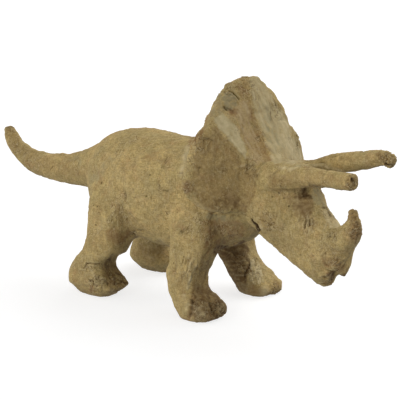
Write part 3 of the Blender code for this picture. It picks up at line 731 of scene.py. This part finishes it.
# Patches of colour, by their corners: softness of the edge in pixels.
PATCHES = (
    # Painted shade filling the crack behind the cheek.
    Mark("painted shade in the crack behind the cheek", 0.7, lift=-0.9, dark=1.0,
        at=[(250.2, 217), (252.4, 218), (256.4, 221.8), (259.8, 226), (261.8, 230.6), (259.6, 231.2),
            (256, 228), (253, 224), (250.8, 220)]),
    Mark("worn paper beside the crack", 1.0, lift=0.3, pale=0.5, warm=0.3,
        at=[(258, 222), (262, 224), (265, 228), (263, 231), (260.5, 227)]),
    Mark("reddish near rim", 2.0, warm=0.5, brown=0.25, streaks=(8, 2.5, -60, 0.5),
        at=[(206, 107), (213, 110), (210, 122), (204, 133), (196, 146), (186, 148), (190, 136), (198, 122)]),
    Mark("olive skin by the patch", 2.0, green=0.45, brown=0.2, streaks=(6, 2.5, -50, 0.5),
        at=[(215, 97), (222, 92), (222, 104), (226, 112), (220, 115), (212, 118), (210, 108)]),
    Mark("frill's brown lower face", 1.1, brown=0.33, warm=0.25, streaks=(7, 3, 60, 0.25),
        at=[(213, 124), (217, 128), (222, 134.5), (229, 142), (237, 150), (240, 156), (243, 163), (249, 168),
            (256, 175), (256.5, 182), (254, 195), (250, 208), (246, 213), (232, 209), (218, 211),
            (206, 210.5), (199, 203), (194, 193), (191.5, 183), (191.5, 170), (194, 155), (199.5, 142),
            (206, 131)]),
    Mark("darker paper low on the face", 5.0, brown=0.45, streaks=(6, 3, 5, 0.9),
        at=[(195, 189), (212, 190), (228, 188), (243, 191), (252, 200), (248, 214), (230, 212), (216, 213),
            (206, 213), (198, 205)]),
    Mark("darkest marks low on the face", 3.0, dark=0.04, brown=0.5, streaks=(5, 2, 20, 2.0),
        at=[(212, 198), (226, 196), (238, 197), (246, 203), (244, 209), (228, 207), (214, 207)]),
    Mark("frill's pale green band", 1.5, lift=0.2, green=0.75, pale=0.6, streaks=(12, 2.5, 52, 0.25),
        at=[(213, 121), (217, 116), (222, 114), (227, 117.5), (233, 124), (239, 133), (244, 142), (248, 150),
            (246, 158), (242, 155), (237, 148), (229, 140.5), (222, 133)]),
    Mark("frill's pink band", 2.4, warm=0.5, pale=0.36, streaks=(14, 2.5, 60, 0.6),
        at=[(231, 112), (240, 101), (247, 101), (250, 112), (253, 126), (258, 140), (265, 153), (266, 161),
            (258, 166), (252, 166), (247, 158), (248, 149), (241, 135), (235, 122)]),
    Mark("frill's brown streaks", 2.4, warm=0.42, brown=0.24, streaks=(14, 3.0, 62, 0.6),
        at=[(236, 86), (246, 84), (249, 95), (254, 109), (258, 123), (264, 136), (272, 149), (274, 160),
            (262, 163), (256, 152), (250, 138), (247, 124), (243, 109), (239, 98)]),
    Mark("frill's second brown streak", 1.6, warm=0.55, brown=0.25, streaks=(14, 2.5, 52, 0.6),
        at=[(236, 117), (241, 122), (247, 134), (253, 147), (260, 160), (254, 160), (247, 148), (241, 133)]),
    Mark("frill's far half", 2.5, green=0.45, pale=0.44, streaks=(14, 3, 66, 0.35),
        at=[(248, 79), (258, 78), (267, 87), (273, 97), (279, 107), (287, 116), (292, 130), (298, 142),
            (305, 155), (301, 166), (284, 164), (271, 162), (269, 150), (263, 136), (257, 122), (252, 106)]),
    Mark("pale side of the far half", 3.0, pale=0.6, green=0.35, streaks=(16, 3, 68, 0.3),
        at=[(276, 106), (283, 112), (289, 122), (294, 135), (300, 148), (304, 160), (292, 162), (286, 148),
            (280, 132), (276, 118)]),
    Mark("dark marks down the far half", 4.0, dark=0.1, green=0.6, streaks=(8, 2.2, 72, 1.6),
        at=[(258, 100), (268, 100), (276, 120), (284, 140), (286, 152), (274, 152), (264, 132), (258, 114)]),
    Mark("grey green patch on the frill", 1.0, lift=0.25, green=0.8, dark=0.12, brown=0.2,
        streaks=(6, 1.3, -38, 0.8),
        at=[(225, 92.5), (229.5, 91.5), (233.5, 95.5), (236.5, 99.5), (236, 106), (232, 111.5), (227.5, 111),
            (223.5, 106), (221.5, 99)]),
    Mark("shade under the eye", 2.8, brown=0.6, green=0.3, warm=0.35, dark=0.08, streaks=(6, 4, 0, 0.3),
        at=[(291, 206), (294, 197), (301, 191), (310, 193), (314, 202), (315, 211), (310, 218), (301, 219),
            (294, 214)]),
    Mark("reddish skin before the shade", 2.0, warm=0.4, streaks=(5, 3, 30, 0.5),
        at=[(284, 193), (292, 190), (297, 194), (294, 203), (288, 206), (284, 200)]),
    Mark("grey bridge of the nose", 2.8, green=0.62, brown=0.1, pale=0.15, streaks=(6, 2, 60, 0.4),
        at=[(311, 187), (321, 187), (324, 196), (326.5, 205), (321, 208), (315, 206), (311, 198)]),
    Mark("pale skin before the bridge", 2.0, pale=0.6, streaks=(6, 1.6, 60, 0.5),
        at=[(321, 212), (327, 208.5), (334, 214), (342, 223), (338, 229), (330, 228.5), (325, 221)]),
    Mark("chest", 3.0, brown=0.12, warm=0.5, streaks=(6, 4, 90, 0.5),
        at=[(204, 222), (212, 217), (222, 218.5), (236, 219), (246, 223), (248, 231), (241, 238), (231, 241),
            (222, 246), (214, 250), (206, 258), (203, 250), (204, 236)]),
    Mark("darker chest by the leg", 4.5, brown=0.18, warm=0.4, streaks=(6, 4, 90, 0.6),
        at=[(201, 222), (214, 218), (222, 228), (220, 240), (210, 254), (202, 252)]),
    Mark("near leg's brown front", 3.4, brown=0.36, warm=0.25, streaks=(12, 2.5, 95, 0.5),
        at=[(200, 250), (210, 256), (210, 272), (211, 281), (214, 292), (202, 296), (192, 296), (189, 290),
            (189.5, 284), (193, 274), (196, 264)]),
    Mark("near foot's brown front", 3.0, brown=0.7, warm=0.4, streaks=(7, 2.5, 70, 0.5),
        at=[(190, 288), (197, 284), (209, 285), (216, 293), (224, 300), (230, 307), (228, 318), (216, 324),
            (205, 326), (196, 320), (191, 312), (194, 302)]),
    Mark("dark side of the big toe", 2.0, dark=0.28, brown=0.85, streaks=(6, 2.5, 60, 0.6),
        at=[(211, 303), (220, 300), (230, 307), (229, 317), (219, 321), (212, 319), (209, 311)]),
    Mark("dark beside the crevice", 1.4, dark=0.3, brown=0.8, warm=0.4,
        at=[(190, 299), (196, 300), (199, 308), (194, 316), (189, 318), (190, 309)]),
    Mark("olive toes", 2.0, green=0.3, streaks=(5, 2.5, 10, 0.6),
        at=[(190, 317), (198, 309), (206, 310), (211, 318), (205, 325), (192, 326)]),
    # Painted shadow on the far leg's side, which the body shades.
    Mark("painted shadow on the far leg's side", 2.6, brown=0.9, dark=0.27, green=0.3, streaks=(6, 2.5, 20, 0.4),
        at=[(214, 244), (229, 245), (238, 242.5), (247, 240), (249, 256), (252, 265), (251, 274), (247, 282),
            (240, 288), (228, 284), (222, 270), (214, 256)]),
    Mark("brown under the dark side", 3.5, brown=0.65, green=0.4, dark=0.1,
        at=[(228, 274), (240, 280), (248, 282), (250, 290), (242, 298), (232, 294), (228, 284)]),
    Mark("pale folds down the far leg", 1.5, pale=0.7, streaks=(9, 1.3, 78, 2.0),
        at=[(248, 258), (256, 260), (263, 272), (262, 284), (254, 284), (248, 278)]),
    Mark("far foot's reddish side", 2.4, warm=0.45, brown=0.25, streaks=(5, 3, 0, 0.4),
        at=[(246, 284), (256, 285), (262, 292), (256, 296), (246, 295)]),
    Mark("hind foot's dark front", 3.0, brown=0.5, warm=0.2, streaks=(6, 3, 40, 0.6),
        at=[(106, 261), (116, 260), (122, 264), (128, 272), (134, 281), (129, 292), (115, 296), (106, 292),
            (104, 281)]),
)

# Dark dots.
DOT_RADIUS = 0.7
DOTS = (
    (173.4, 263.2), (183.5, 256.7), (181, 231), (272, 197), (284, 198), (281, 186), (301, 255),
    (279, 193), (289, 206), (353, 229), (356, 222), (351, 236), (314, 256), (331, 236), (268, 212),
    (150, 175), (162, 168), (147, 196), (118, 150), (88, 205), (95, 225), (166, 214), (184, 229),
)

# Hollows, and swellings where the depth is negative: radius and depth.
HOLLOWS = (
    Mark("eye", 4.0, 1.6, twin=True, at=[(303, 193), (307, 193.5)]),
    Mark("mouth notch", 3.8, 4.2, twin=True, at=[(336.3, 275.8), (334.5, 274)]),
    Mark("swollen lip", 4.5, -1.2, twin=True, at=[(342, 274)]),
    Mark("toe", 5.0, -0.9, at=[(200, 311)]),
    Mark("big toe", 5.0, -0.9, at=[(220, 308)]),
    Mark("hind toe", 4.5, -0.8, at=[(100, 282)]),
    Mark("hind hock", 9.5, 3.0, at=[(117, 261), (112, 262)]),
    Mark("filled in under the near horn", 6.5, -1.1, at=[(262, 187), (280, 188), (296, 188)]),
    Mark("swollen jaw tip", 5.0, -0.9, at=[(328, 279)]),
    Mark("above the near foot's toes", 4.0, 0.8, at=[(198, 290), (200, 302)]),
    Mark("far leg's inner side", 4.5, 0.8, at=[(240, 264), (243, 274)]),
    Mark("fuller throat", 5.0, -1.5, at=[(261, 232), (266, 236), (272, 241)]),
    Mark("fuller tail end", 6.0, -0.7, at=[(7, 138), (13, 150), (20, 159)]),
    Mark("thinner bridge", 5.0, 0.7, at=[(322, 194), (326, 204), (331, 214)]),
)

# Crumpled paper: radius, size of the folds, their height and their darkness, which is painted shade in the
# valleys. Pale is painted highlight on the crests.
CRUMPLES = (
    Mark("frill rim", 5.5, 2.6, 0.8, 0.35, warm=0.45, at=[(187, 187)]),
    Mark("rim over the body", 8.0, 3.0, 0.8, 0.08, warm=0.3, at=[(196, 143)]),
    Mark("upper near rim", 8.0, 3.0, 0.8, 0.25, warm=0.2, at=[(208, 110)]),
    Mark("lower far rim", 8.0, 3.4, 0.7, 0.15, at=[(298, 140)]),
    Mark("frill top, near corner", 8.0, 3.6, 0.8, 0.35, at=[(224, 88)]),
    Mark("frill top", 8.0, 3.6, 0.7, 0.25, at=[(246, 84)]),
    Mark("frill's far rim", 8.0, 3.6, 0.8, 0.25, squash=(1, 1, 0.5), at=[(275, 108)]),
    Mark("frill's root", 5.5, 2.4, 0.5, 0.5, warm=0.2, at=[(250, 170)]),
    Mark("near horn's end", 6.5, 2.6, 1.0, 0.45, warm=0.3, at=[(353, 182)]),
    Mark("far horn's end", 8.0, 2.6, 1.1, 0.5, at=[(388, 158)]),
    Mark("nose horn's tip", 6.0, 3.0, 0.9, 0.35, warm=0.5, at=[(353, 214)]),
    Mark("nose horn's front", 7.0, 2.4, 0.7, 0.3, pale=0.5, warm=0.6, at=[(357, 231)]),
    Mark("nose horn's base", 5.0, 2.6, 0.4, 0.4, at=[(333, 238)]),
    Mark("beak", 6.5, 3.2, 0.6, 0.45, warm=0.2, at=[(337, 264)]),
    Mark("jaw tip", 6.0, 2.6, 0.9, 0.6, warm=0.3, at=[(329, 278)]),
    Mark("near foot's toes", 9.0, 3.4, 1.1, 0.45, at=[(203, 310)]),
    Mark("near foot's big toe", 6.5, 2.4, 1.0, 0.5, at=[(219, 308)]),
    Mark("far foot's toes", 6.5, 2.6, 0.7, 0.6, warm=0.3, at=[(276, 290)]),
    Mark("far foot's top", 5.5, 2.8, 0.6, 0.3, pale=0.6, at=[(254, 277)]),
    Mark("hind foot", 7.5, 3.0, 0.9, 0.4, pale=0.5, at=[(97, 284)]),
    Mark("hind toes", 8.0, 3.2, 0.8, 0.3, at=[(116, 278)]),
    Mark("hind hock", 5.0, 2.6, 0.5, 0.5, at=[(111, 264)]),
    Mark("under the belly", 4.5, 2.6, 0.5, 0.6, at=[(135, 233)]),
    Mark("tail's tip", 5.0, 3.0, 0.6, 0.3, at=[(10.5, 130)]),
    Mark("folds down the near leg", 13.0, 3.2, 0.45, 0.3, pale=0.3, squash=(1, 1, 0.22), at=[(186, 266)]),
    Mark("folds down the far leg", 8.0, 2.6, 0.5, 0.3, pale=0.5, squash=(1, 1, 0.25), at=[(254, 270)]),
    Mark("folds over the thigh", 14.0, 4.5, 0.5, 0.25, pale=0.2, squash=(1, 1, 0.35), at=[(118, 216)]),
    Mark("folds on the shoulder", 12.0, 4.5, 0.4, 0.2, pale=0.2, squash=(1, 1, 0.35), at=[(196, 226)]),
    Mark("folds of the neck", 13.0, 4.0, 0.5, 0.25, warm=0.15, squash=(0.5, 1, 1), at=[(225, 236)]),
    Mark("wrinkles before the bridge", 7.0, 2.4, 0.5, 0.45, pale=0.6, at=[(328, 213)]),
    Mark("wrinkles under the eye", 7.5, 2.4, 0.5, 0.45, pale=0.7, warm=0.2, squash=(1, 1, 0.4),
        at=[(307, 225)]),
    Mark("wrinkled cheek", 8.0, 2.6, 0.3, 0.2, pale=0.2, warm=0.3, at=[(268, 222)]),
    Mark("wrinkled nostril", 7.0, 2.6, 0.35, 0.35, pale=0.2, warm=0.25, at=[(330, 250)]),
)


# The finish of the whole skin

def shapes_by_pixel(skin):
    """Every feature of the tables above, with its line, area or place on the skin."""
    tree = skin.search_tree()
    shapes = [(fill, Area(entry.pixels), entry) for entry in PATCHES]
    for act, table in ((dab, DABS), (crease, CREASES), (ridge, RIDGES), (sink, HOLLOWS)):
        for entry in table:
            for twin in (False, True) if entry.twin else (False,):
                shapes.append((act, Line(tree, entry.pixels, twin), entry))
    dots = [Mark("dot", DOT_RADIUS, edge=0.15, dark=0.85, at=[dot]) for dot in DOTS]
    shapes += [(dab, Line(tree, entry.pixels), entry) for entry in dots]
    shapes += [(crumple, Line(tree, entry.pixels), entry) for entry in CRUMPLES]
    return shapes


def random_place(skin, chance):
    """A random point of the skin, and two directions along the skin there."""
    middle = chance.integers(len(skin.rest))
    along = np.cross(skin.normals[middle], chance.normal(size=3))
    along /= np.linalg.norm(along)
    return middle, along, np.cross(skin.normals[middle], along)


def points_round(skin, middle, reach):
    """Points of the skin within reach of one that face roughly the same way, and how far off it is."""
    apart = skin.rest - skin.rest[middle]
    index = np.flatnonzero((apart ** 2).sum(1) < reach ** 2)
    index = index[skin.normals[index] @ skin.normals[middle] > ROUGHLY_SAME_WAY]
    return index, apart[index]


def paper_strips(skin):
    """Torn strips laid over each other, each a little proud and of its own shade."""
    chance = np.random.default_rng(SEED)
    strip = skin.layers["strip"]
    for _ in range(STRIP_COUNT):
        middle, along, across = random_place(skin, chance)
        half_long, half_wide = chance.uniform(*STRIP_HALF_LENGTH), chance.uniform(*STRIP_HALF_WIDTH)
        shade = chance.uniform(-1, 1)
        index, apart = points_round(skin, middle, half_long + STRIP_MARGIN)
        inside = np.minimum(half_long - np.abs(apart @ along), half_wide - np.abs(apart @ across))
        inside += STRIP_RAGGED * grain(skin.rest[index], 2.6, 3, float(middle % 97))
        cover = smoothstep(-0.35, 0.45, inside)
        skin.height[index] += STRIP_THICKNESS * cover
        strip[index] += cover * (shade - strip[index])
        # Along each strip's edge: a thin line of painted shade just outside it and a painted highlight just
        # inside it.
        skin.paint("dark", index, 0.2 * np.exp(-(((inside + 0.5) / 0.45) ** 2)))
        skin.paint("pale", index, 0.24 * np.exp(-(((inside - 0.5) / 0.5) ** 2)))


def scattered_creases(skin):
    """Short creases and folds all over, also on the sides that the photograph doesn't show."""
    chance = np.random.default_rng(SEED + 1)
    for _ in range(CREASE_COUNT):
        middle, along, across = random_place(skin, chance)
        half, width = chance.uniform(*CREASE_HALF_LENGTH), chance.uniform(*CREASE_WIDTH)
        height, bend = chance.uniform(*CREASE_HEIGHT), chance.uniform(*CREASE_BEND)
        strength = chance.uniform(*CREASE_COLOUR)
        index, apart = points_round(skin, middle, half + STRIP_MARGIN)
        u, v = apart @ along, apart @ across
        line = np.exp(-(((v - bend * u * u) / width) ** 2)) * (1 - smoothstep(0.5, 1, np.abs(u) / half))
        skin.height[index] += height * line
        # Sunk creases are painted darker as painted shade, raised ones paler as a painted highlight.
        skin.paint("dark" if height < 0 else "pale", index, 0.6 * line * strength)


def lumps_stains_and_painted_light(skin):
    """Slow unevenness, broad stains, painted shade in the hollows, worn paper and a painted highlight on the
    edges, and browner paint low down.
    """
    points = skin.rest
    for size, height, offset in BUMPS:
        skin.height += height * grain(points, size, 3, offset)
    for size, height, offset in BROAD_FOLDS:
        some = smoothstep(-0.05, 0.3, grain(points, 2 * size, 2, offset + 5))
        skin.height += height * some * (folds(points, size, 2, offset) ** 2 - 0.2)
    everywhere = slice(None)
    for name, strength, limits, size, octaves, offset in STAINS:
        skin.paint(name, everywhere, strength * smoothstep(*limits, grain(points, size, octaves, offset)))
    form = points.copy()
    for _ in range(FORM_ROUNDS):
        form = form + 0.5 * (skin.neighbour_mean(form) - form)
    bulge = skin.spread(((points - form) * skin.normals).sum(1), BULGE_ROUNDS)
    patchy = 0.6 + 0.6 * grain(points, 5, 2, 57.0)
    # Edges that stand out are painted paler, as worn paper and painted highlight; hollows are painted darker
    # as painted shade.
    skin.paint("pale", everywhere, 0.5 * smoothstep(0.15, 0.6, bulge) * patchy)
    skin.paint("dark", everywhere, 0.35 * smoothstep(0.12, 0.6, -bulge) * patchy)
    # Browner towards the floor.
    low = 1 - smoothstep(0, LOW_BROWN_HEIGHT, points[:, 2] + 3 * grain(points, 6, 2, 61.0))
    skin.paint("brown", everywhere, 0.45 * low)
    rim = smoothstep(0.12, 0.45, bulge) * smoothstep(*RIM_HEIGHT, points[:, 2]) * (points[:, 0] < RIM_FRONT)
    skin.height += RIM_RAGGED * rim * grain(points, 8, 4, 71.0)


def dress(skin):
    """Makes the skin finer where it needs to be, and gives it its relief and colours."""
    shapes = shapes_by_pixel(skin)
    creases = [place for act, line, _ in shapes if act is crease for place in line.places]
    fine = creases + [place for act, line, _ in shapes if act is ridge for place in line.places]
    fine += [line.places[0] for act, line, entry in shapes if act is dab and entry.sizes[0] < 1]
    for act, line, entry in shapes:
        if act is crumple and entry.sizes[0] < FINE_BUNCH:
            near = np.linalg.norm(skin.rest - line.places[0], axis=1) < entry.sizes[0] - 1
            fine += list(skin.rest[near][::BUNCH_STEP])
    skin.refine(fine, REFINE_REACH)
    skin.refine(creases, CREASE_REACH)
    skin.find_seen(skin.search_tree())
    lumps_stains_and_painted_light(skin)
    paper_strips(skin)
    scattered_creases(skin)
    # What the strips and bumps add all over goes off again, so that the form stays as thick as it was.
    skin.height -= skin.height.mean()
    for act, line, entry in shapes:
        act(skin, line, *entry.sizes, **entry.options)
    skin.finish()


# Kraft paper

class Paint:
    """A short way to build a material's nodes."""

    def __init__(self, name):
        self.material = bpy.data.materials.new(name)
        self.material.use_nodes = True
        self.nodes = self.material.node_tree.nodes
        self.links = self.material.node_tree.links
        self.shader = self.nodes["Principled BSDF"]
        self.place = self.nodes.new("ShaderNodeTexCoord").outputs["Object"]

    def set(self, socket, value):
        if isinstance(value, bpy.types.NodeSocket):
            self.links.new(value, socket)
        else:
            socket.default_value = value

    def layer(self, name):
        node = self.nodes.new("ShaderNodeAttribute")
        node.attribute_name = name
        return node.outputs["Fac"]

    def turned(self, stretch, turn_deg):
        node = self.nodes.new("ShaderNodeMapping")
        self.links.new(self.place, node.inputs["Vector"])
        node.inputs["Scale"].default_value = stretch
        node.inputs["Rotation"].default_value = [math.radians(a) for a in turn_deg]
        return node.outputs["Vector"]

    def noise(self, size_mm, detail=3, roughness=0.6, place=None):
        node = self.nodes.new("ShaderNodeTexNoise")
        self.links.new(place or self.place, node.inputs["Vector"])
        node.inputs["Scale"].default_value = 1000 / size_mm
        node.inputs["Detail"].default_value = detail
        node.inputs["Roughness"].default_value = roughness
        return node.outputs["Fac"]

    def lines(self, size_mm, place=None):
        """Thin lines along which a noise crosses its middle, and thin lines beside them."""
        value = self.noise(size_mm, 3, 0.5, place)
        sides = []
        for middle in (0.5, 0.53):
            off = self.math("ABSOLUTE", self.math("SUBTRACT", value, middle))
            sides.append(self.range(off, 0.022, 0.0))
        return sides

    def cells(self, size_mm):
        node = self.nodes.new("ShaderNodeTexVoronoi")
        self.links.new(self.place, node.inputs["Vector"])
        node.inputs["Scale"].default_value = 1000 / size_mm
        return node.outputs["Distance"], node.outputs["Color"]

    def math(self, kind, first, second=0.5):
        node = self.nodes.new("ShaderNodeMath")
        node.operation = kind
        self.set(node.inputs[0], first)
        self.set(node.inputs[1], second)
        return node.outputs[0]

    def range(self, value, low, high, to_low=0.0, to_high=1.0):
        node = self.nodes.new("ShaderNodeMapRange")
        node.interpolation_type = "SMOOTHSTEP"
        self.links.new(value, node.inputs["Value"])
        for name, number in (("From Min", low), ("From Max", high), ("To Min", to_low), ("To Max", to_high)):
            node.inputs[name].default_value = number
        return node.outputs["Result"]

    def mix(self, share, first, second, blend="MIX"):
        node = self.nodes.new("ShaderNodeMix")
        node.data_type = "RGBA"
        node.blend_type = blend
        self.set(node.inputs["Factor"], share)
        self.set(node.inputs[6], first)
        self.set(node.inputs[7], second)
        return node.outputs[2]


def kraft_paper():
    paint = Paint("kraft_paper")
    olive = paint.range(paint.noise(16, 4), 0.38, 0.62)
    colour = paint.mix(olive, srgb(*BASE_TAN), srgb(*BASE_OLIVE))
    colour = paint.mix(paint.range(paint.noise(7, 4), 0.52, 0.7, 0, 0.6), colour, srgb(*BASE_PINK))
    strip = paint.range(paint.layer("strip"), -1, 1, 0.93, 1.06)
    mottle = paint.range(paint.noise(1.2, 4, 0.8), 0.36, 0.64, 0.8, 1.17)
    blotch = paint.range(paint.noise(3.8, 4, 0.65), 0.34, 0.66, 0.88, 1.1)
    shade = paint.math("MULTIPLY", paint.math("MULTIPLY", strip, mottle), blotch)
    colour = paint.mix(1.0, colour, shade, "MULTIPLY")
    fibre_height = None
    for turn, stretch in FIBRES:
        fibre = paint.noise(0.55, 2, 0.5, paint.turned(stretch, turn))
        light = paint.range(fibre, 0.6, 0.7, 0, 0.5)
        colour = paint.mix(light, colour, srgb(*FIBRE_PALE))
        deep = paint.range(fibre, 0.4, 0.3, 0, 0.45)
        colour = paint.mix(deep, colour, srgb(*FIBRE_DARK))
        fibre_height = fibre if fibre_height is None else paint.math("ADD", fibre_height, fibre)
    # The layers' colours: stains and marks, and in the dark and pale layers also painted shade and painted
    # highlights.
    for name, shown in STAIN_SHADE_AND_HIGHLIGHT_COLOURS:
        uneven = paint.range(paint.noise(2.0, 4, 0.7), 0.25, 0.75, 0.75, 1.2)
        ragged = paint.math("MULTIPLY", paint.layer(name), uneven)
        colour = paint.mix(paint.range(ragged, 0, 1), colour, srgb(*shown))
    # Fine wrinkles: a darker line along each valley as painted shade and a paler line beside it as a painted
    # highlight, with the same lines in the bump.
    wrinkles = None
    upright = paint.turned(UPRIGHT_STRETCH, (0, 0, 0))
    for layer, size, place in (("wrinkle", 3.4, None), ("wrinkle", 6.0, None), ("upright", 3.0, upright)):
        valley, crest = paint.lines(size, place)
        valley = paint.math("MULTIPLY", valley, paint.layer(layer))
        crest = paint.math("MULTIPLY", crest, paint.layer(layer))
        colour = paint.mix(paint.math("MULTIPLY", valley, 0.65), colour, srgb(*WRINKLE_SHADE_BROWN))
        colour = paint.mix(paint.math("MULTIPLY", crest, 0.45), colour, srgb(*PALE))
        slope = paint.math("SUBTRACT", crest, valley)
        wrinkles = slope if wrinkles is None else paint.math("ADD", wrinkles, slope)
    distance, cell = paint.cells(2.6)
    is_speck = paint.range(cell, 0.86, 0.9)
    speck = paint.math("MULTIPLY", paint.range(distance, 0.2, 0.1), is_speck)
    colour = paint.mix(paint.math("MULTIPLY", speck, 0.6), colour, srgb(*FIBRE_DARK))
    paint.set(paint.shader.inputs["Base Color"], colour)
    paint.set(paint.shader.inputs["Roughness"], paint.range(mottle, 0.84, 1.14, 0.93, 0.76))
    paint.shader.inputs["Specular IOR Level"].default_value = GLOSS
    bump = paint.nodes.new("ShaderNodeBump")
    bump.inputs["Strength"].default_value = BUMP_STRENGTH
    bump.inputs["Distance"].default_value = BUMP_MM * MM
    rough = paint.math("ADD", paint.math("ADD", fibre_height, paint.noise(1.2, 5, 0.7)), wrinkles)
    paint.links.new(rough, bump.inputs["Height"])
    paint.links.new(bump.outputs["Normal"], paint.shader.inputs["Normal"])
    return paint.material


make_camera()
make_floor()
make_world(WORLD_STRENGTH)
for lamp in LAMPS:
    make_lamp(*lamp)
bpy.context.scene.view_settings.view_transform = "Standard"

skin = Skin(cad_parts[NODE])
dress(skin)
skin.obj.data.materials.clear()
skin.obj.data.materials.append(kraft_paper())
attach(skin.obj, "root")
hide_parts(NODE)
